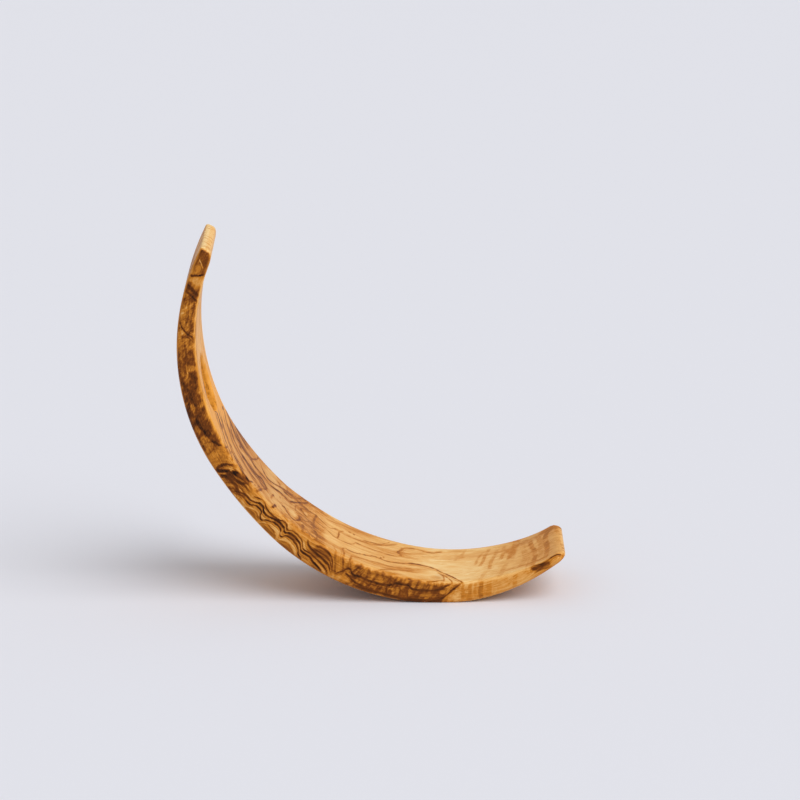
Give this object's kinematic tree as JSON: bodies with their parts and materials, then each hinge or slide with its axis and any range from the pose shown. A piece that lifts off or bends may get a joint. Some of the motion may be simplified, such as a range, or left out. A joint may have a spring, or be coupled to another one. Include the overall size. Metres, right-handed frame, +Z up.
{
  "type": "wine bottle holder",
  "caption": "Curved board of carved olive wood with an oblique hole for a bottle's neck. It stands on a small sanded flat and holds the bottle almost level by balance alone.",
  "frame": {"origin": "on the sanded flat that the holder stands on, under the lowest point of its curve, midway across the board", "axes": "+Z up, +X from the tall arm towards the short lip, Y across the board"},
  "size_m": [0.2191, 0.064, 0.2071],
  "materials": {
    "olive_wood": "satin oiled"
  },
  "bodies": {
    "root": {"olive_arc": "olive_wood"}
  },
  "joints": []
}
